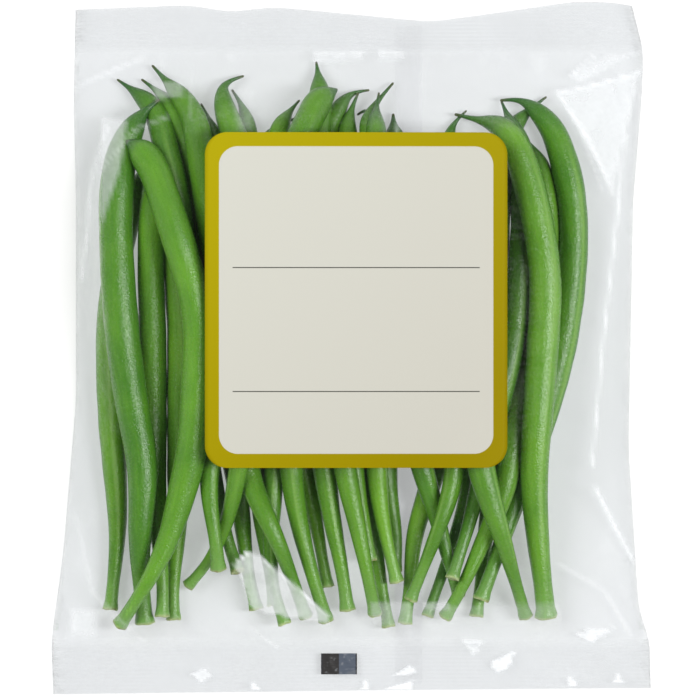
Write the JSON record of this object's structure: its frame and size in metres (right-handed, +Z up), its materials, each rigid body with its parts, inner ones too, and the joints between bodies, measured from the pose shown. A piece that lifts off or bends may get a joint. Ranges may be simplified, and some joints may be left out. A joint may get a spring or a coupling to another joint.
{
  "type": "bagged green bean bundle",
  "caption": "Bundle of fine green beans lying side by side in a clear crimped film pouch with a blank label, resting on its back.",
  "frame": {"origin": "centre of the pack's bounding box, on the surface that its back lies on", "axes": "+X across the pack, +Y along the pods towards their beaks, +Z up through the front of the pack"},
  "size_m": [0.172, 0.1988, 0.0257],
  "materials": {
    "film": "clear glossy polypropylene film, lightly wrinkled, crimped at both ends",
    "film_seam": "two layers of the same clear film, welded flat",
    "label": "coated paper, satin, cream panel inside an olive-yellow border, no print",
    "bean_mid": "waxy fresh green skin with fine pebbling",
    "bean_dark": "waxy darker green skin",
    "bean_light": "waxy lighter green skin",
    "bean_deep": "waxy deep green skin"
  },
  "bodies": {
    "root": {"bag_film": "film", "back_seam": "film_seam", "label": "label", "pod_01": "bean_dark", "pod_02": "bean_light", "pod_03": "bean_deep", "pod_04": "bean_mid", "pod_05": "bean_dark", "pod_06": "bean_light", "pod_07": "bean_deep", "pod_08": "bean_mid", "pod_09": "bean_dark", "pod_10": "bean_light", "pod_11": "bean_deep", "pod_12": "bean_mid", "pod_13": "bean_dark", "pod_14": "bean_light", "pod_15": "bean_deep", "pod_16": "bean_mid", "pod_17": "bean_dark", "pod_18": "bean_light", "pod_19": "bean_deep", "pod_20": "bean_mid", "pod_21": "bean_dark", "pod_22": "bean_light", "pod_23": "bean_deep", "pod_24": "bean_mid", "pod_25": "bean_dark", "pod_26": "bean_light", "pod_27": "bean_deep", "pod_28": "bean_mid", "pod_29": "bean_dark", "pod_30": "bean_light", "pod_31": "bean_deep"}
  },
  "joints": []
}
